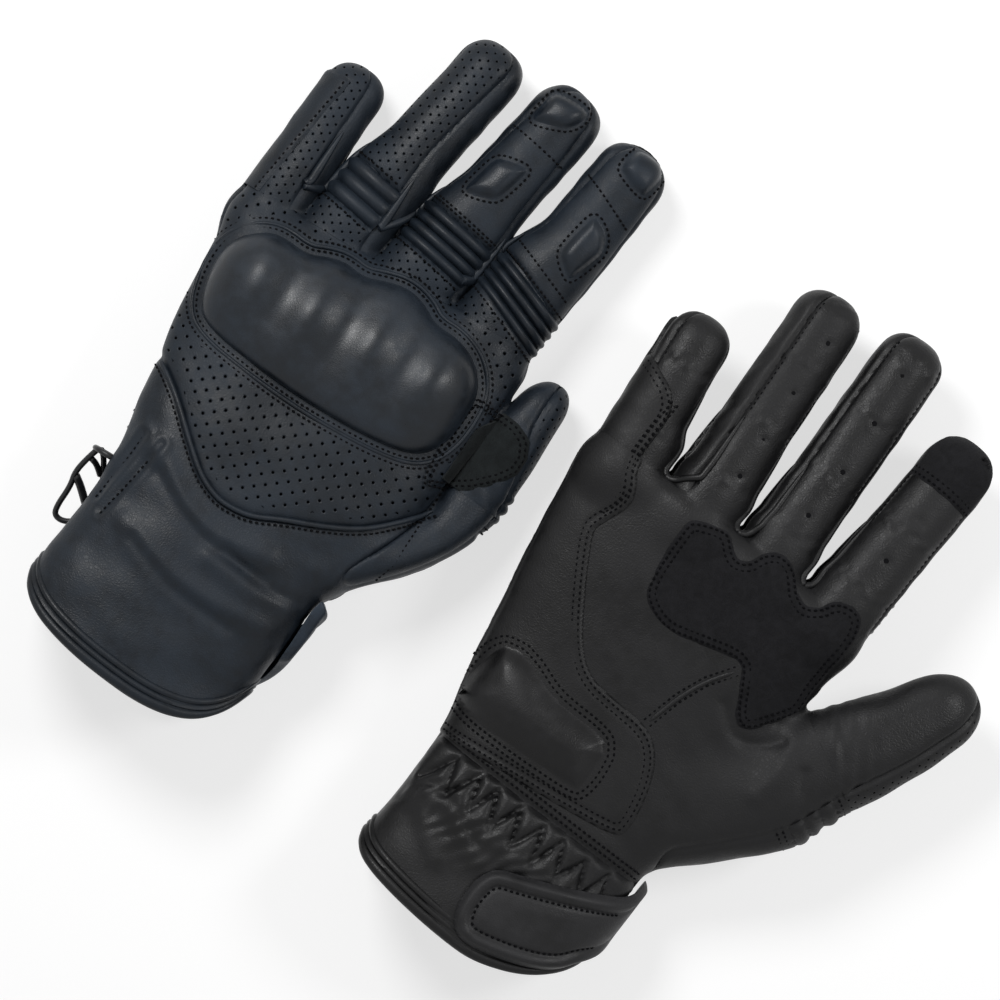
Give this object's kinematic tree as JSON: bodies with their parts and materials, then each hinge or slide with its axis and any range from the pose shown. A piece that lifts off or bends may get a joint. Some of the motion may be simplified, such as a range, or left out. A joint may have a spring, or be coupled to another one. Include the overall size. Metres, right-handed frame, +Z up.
{
  "type": "riding gloves",
  "caption": "Pair of short-cuff leather riding gloves with hollow bending fingers and thumb, domed knuckle guard, padded heel slider and wrist strap; one lies palm down, one palm up.",
  "frame": {"origin": "centre of the pair's footprint on the surface they lie on", "axes": "+Z up from the surface, +Y towards the fingertips, +X from the left glove (palm down) to the right glove (palm up)"},
  "size_m": [0.3134, 0.2694, 0.0505],
  "materials": {
    "perforated_leather": "satin",
    "guard_leather": "satin",
    "suede": "matt suede",
    "overlay_leather": "satin",
    "binding": "satin",
    "hook_and_loop": "matt",
    "clip_plastic": "matt",
    "tape_fabric": "woven",
    "flex_leather": "satin",
    "pad_leather": "satin",
    "strap_leather": "satin",
    "grain_leather": "satin"
  },
  "bodies": {
    "left_hand": {"left_back_panel": "perforated_leather", "left_knuckle_guard": "guard_leather", "left_cuff_back": "grain_leather", "left_cuff_palm": "grain_leather", "left_cuff_binding": "binding", "left_palm_panel": "grain_leather", "left_palm_patch": "suede", "left_heel_overlay": "overlay_leather", "left_heel_pad": "overlay_leather", "left_loop_tape": "hook_and_loop", "left_clip_loop": "tape_fabric"},
    "left_index_finger": {"left_index_back": "grain_leather", "left_index_front": "grain_leather", "left_index_flex": "flex_leather", "left_index_pads": "pad_leather", "left_index_touch_patch": "suede"},
    "left_middle_finger": {"left_middle_back": "grain_leather", "left_middle_front": "grain_leather", "left_middle_flex": "flex_leather", "left_middle_pads": "pad_leather"},
    "left_ring_finger": {"left_ring_back": "grain_leather", "left_ring_front": "grain_leather", "left_ring_flex": "flex_leather"},
    "left_pinky_finger": {"left_pinky_back": "grain_leather", "left_pinky_front": "grain_leather", "left_pinky_side_patch": "grain_leather"},
    "left_thumb": {"left_thumb_back": "grain_leather", "left_thumb_front": "grain_leather"},
    "left_wrist_strap": {"left_strap": "strap_leather", "left_hook_tape": "hook_and_loop"},
    "right_hand": {"right_back_panel": "perforated_leather", "right_knuckle_guard": "guard_leather", "right_cuff_back": "grain_leather", "right_cuff_palm": "grain_leather", "right_cuff_binding": "binding", "right_palm_panel": "grain_leather", "right_palm_patch": "suede", "right_heel_overlay": "overlay_leather", "right_heel_pad": "overlay_leather", "right_loop_tape": "hook_and_loop"},
    "right_index_finger": {"right_index_back": "grain_leather", "right_index_front": "grain_leather", "right_index_flex": "flex_leather", "right_index_pads": "pad_leather", "right_index_touch_patch": "suede"},
    "right_middle_finger": {"right_middle_back": "grain_leather", "right_middle_front": "grain_leather", "right_middle_flex": "flex_leather", "right_middle_pads": "pad_leather"},
    "right_ring_finger": {"right_ring_back": "grain_leather", "right_ring_front": "grain_leather", "right_ring_flex": "flex_leather"},
    "right_pinky_finger": {"right_pinky_back": "grain_leather", "right_pinky_front": "grain_leather", "right_pinky_side_patch": "grain_leather"},
    "right_thumb": {"right_thumb_back": "grain_leather", "right_thumb_front": "grain_leather"},
    "right_wrist_strap": {"right_strap": "strap_leather", "right_hook_tape": "hook_and_loop"},
    "left_hang_clip": {"left_clip": "clip_plastic"}
  },
  "joints": [
    {"name": "right_glove_lift", "type": "slide", "parent": "left_hand", "child": "right_hand", "axis": [0, 0, 1], "range_m": [0, 0.08]},
    {"name": "left_index_bend", "type": "hinge", "parent": "left_hand", "child": "left_index_finger", "pos_m": [-0.05396, 0.04786, 0.00176], "axis": [-0.9983, -0.0576, 0], "range_deg": [0, 60]},
    {"name": "left_middle_bend", "type": "hinge", "parent": "left_hand", "child": "left_middle_finger", "pos_m": [-0.0884, 0.04588, 0.00066], "axis": [-0.9983, -0.0576, 0], "range_deg": [0, 60]},
    {"name": "left_ring_bend", "type": "hinge", "parent": "left_hand", "child": "left_ring_finger", "pos_m": [-0.11935, 0.04409, 0.00166], "axis": [-0.9983, -0.0576, 0], "range_deg": [0, 60]},
    {"name": "left_pinky_bend", "type": "hinge", "parent": "left_hand", "child": "left_pinky_finger", "pos_m": [-0.14431, 0.04265, 0.00286], "axis": [-0.9983, -0.0576, 0], "range_deg": [0, 60]},
    {"name": "left_thumb_bend", "type": "hinge", "parent": "left_hand", "child": "left_thumb", "pos_m": [-0.02771, -0.00391, 0.00076], "axis": [-0.9996, 0.0297, 0], "range_deg": [0, 40]},
    {"name": "left_strap_open", "type": "hinge", "parent": "left_hand", "child": "left_wrist_strap", "pos_m": [-0.05504, -0.09143, 0.02641], "axis": [0.0576, -0.9983, 0], "range_deg": [0, 100]},
    {"name": "right_index_bend", "type": "hinge", "parent": "right_hand", "child": "right_index_finger", "pos_m": [0.09566, 0.03519, 0.04532], "axis": [0.9983, -0.0576, 0], "range_deg": [0, 60]},
    {"name": "right_middle_bend", "type": "hinge", "parent": "right_hand", "child": "right_middle_finger", "pos_m": [0.06621, 0.03689, 0.04462], "axis": [0.9983, -0.0576, 0], "range_deg": [0, 60]},
    {"name": "right_ring_bend", "type": "hinge", "parent": "right_hand", "child": "right_ring_finger", "pos_m": [0.03636, 0.03861, 0.04552], "axis": [0.9983, -0.0576, 0], "range_deg": [0, 60]},
    {"name": "right_pinky_bend", "type": "hinge", "parent": "right_hand", "child": "right_pinky_finger", "pos_m": [0.00581, 0.04037, 0.0443], "axis": [0.9983, -0.0576, 0], "range_deg": [0, 60]},
    {"name": "right_thumb_bend", "type": "hinge", "parent": "right_hand", "child": "right_thumb", "pos_m": [0.12191, -0.00883, 0.04125], "axis": [0.8572, -0.515, 0], "range_deg": [0, 40]},
    {"name": "right_strap_open", "type": "hinge", "parent": "right_hand", "child": "right_wrist_strap", "pos_m": [0.09305, -0.10389, 0.024], "axis": [0.0576, 0.9983, 0], "range_deg": [0, 100]},
    {"name": "left_clip_swing", "type": "hinge", "parent": "left_hand", "child": "left_hang_clip", "pos_m": [-0.14674, -0.06116, 0.02691], "axis": [0.9983, 0.0576, 0], "range_deg": [-25, 25]}
  ]
}
